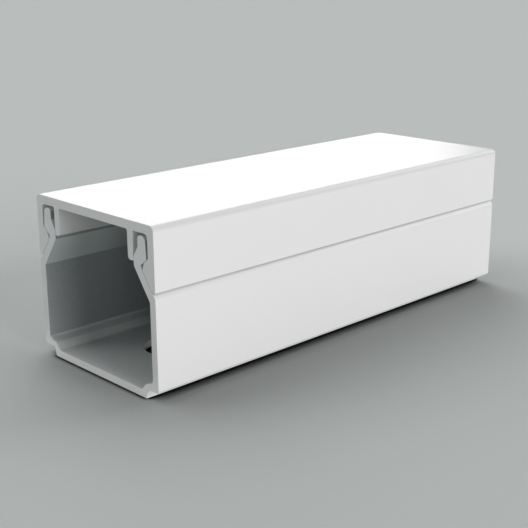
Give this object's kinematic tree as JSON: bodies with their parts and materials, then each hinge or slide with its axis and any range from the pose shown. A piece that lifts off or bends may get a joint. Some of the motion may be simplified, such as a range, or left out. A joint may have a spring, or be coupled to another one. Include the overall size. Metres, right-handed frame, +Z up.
{
  "type": "cable trunking",
  "caption": "Short sawn length of rectangular cable trunking: base channel with a round fixing hole in its floor, closed by a clip-on lid that can be slid along it.",
  "frame": {"origin": "middle of the base's foot, on the surface that the trunking is fixed to", "axes": "+Y along the run of the trunking, away from the end with the fixing hole; +X across its width; +Z up, from the foot to the lid"},
  "size_m": [0.024, 0.0676, 0.0216],
  "materials": {
    "rigid_pvc": "white extruded rigid PVC, satin"
  },
  "bodies": {
    "base": {"base": "rigid_pvc"},
    "lid": {"lid": "rigid_pvc"}
  },
  "joints": [
    {"name": "lid_slide", "type": "slide", "parent": "base", "child": "lid", "axis": [0, 1, 0], "range_m": [-0.07, 0.07]}
  ]
}
